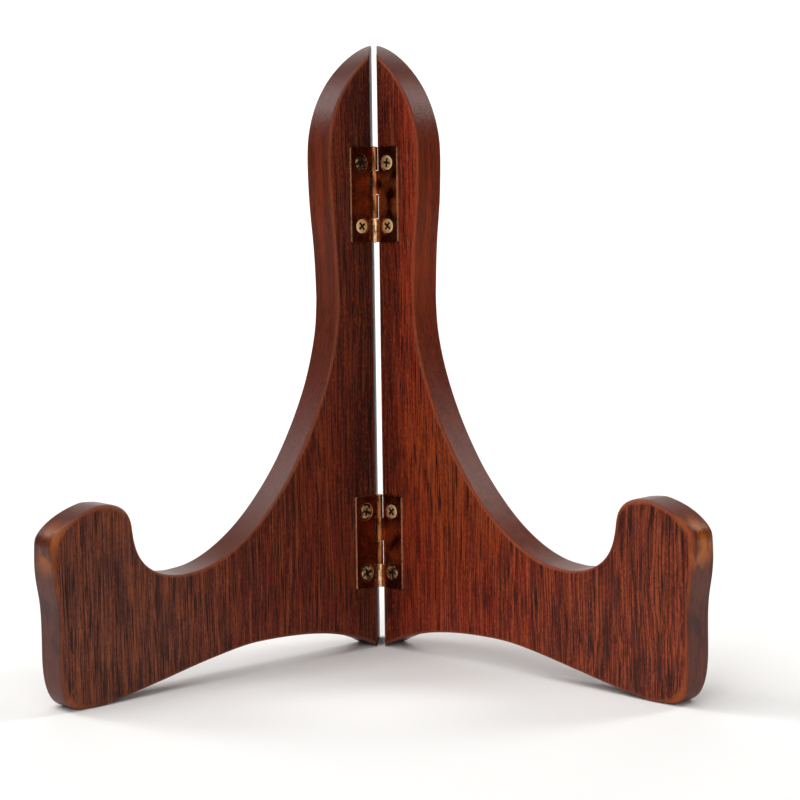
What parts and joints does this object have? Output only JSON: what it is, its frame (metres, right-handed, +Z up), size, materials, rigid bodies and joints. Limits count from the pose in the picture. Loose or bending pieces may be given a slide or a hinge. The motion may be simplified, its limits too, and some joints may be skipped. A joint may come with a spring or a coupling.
{
  "type": "plate display stand",
  "caption": "Folding easel of mirrored hardwood panels hinged along a mitred edge; a plate stands in the notch behind the hook of each foot.",
  "frame": {"origin": "on the surface that the stand stands on, under the middle of its bounding box, when it stands open", "axes": "+Z up along the hinge pins; +Y from the plate towards the hinges; X from one foot to the other, so the right panel is on +X"},
  "size_m": [0.154, 0.0778, 0.1548],
  "materials": {
    "left_wood": "dark brown stain under a satin varnish",
    "right_wood": "red brown stain under a satin varnish",
    "hinge_sheet": "antique copper plate, rubbed at the edges",
    "hinge_pin": "bronzed",
    "screw_brass": "polished, darkened in the recess"
  },
  "bodies": {
    "left_half": {"left_panel": "left_wood", "upper_hinge_left_leaf": "hinge_sheet", "upper_left_screw_top": "screw_brass", "upper_left_screw_bottom": "screw_brass", "lower_hinge_left_leaf": "hinge_sheet", "lower_left_screw_top": "screw_brass", "lower_left_screw_bottom": "screw_brass", "upper_hinge_pin": "hinge_pin", "lower_hinge_pin": "hinge_pin"},
    "right_half": {"right_panel": "right_wood", "upper_hinge_right_leaf": "hinge_sheet", "upper_right_screw_top": "screw_brass", "upper_right_screw_bottom": "screw_brass", "lower_hinge_right_leaf": "hinge_sheet", "lower_right_screw_top": "screw_brass", "lower_right_screw_bottom": "screw_brass"}
  },
  "joints": [
    {"name": "stand_fold", "type": "hinge", "parent": "left_half", "child": "right_half", "pos_m": [0, 0.02585, 0.077], "axis": [0, 0, -1], "range_deg": [-4.5, 94]}
  ]
}
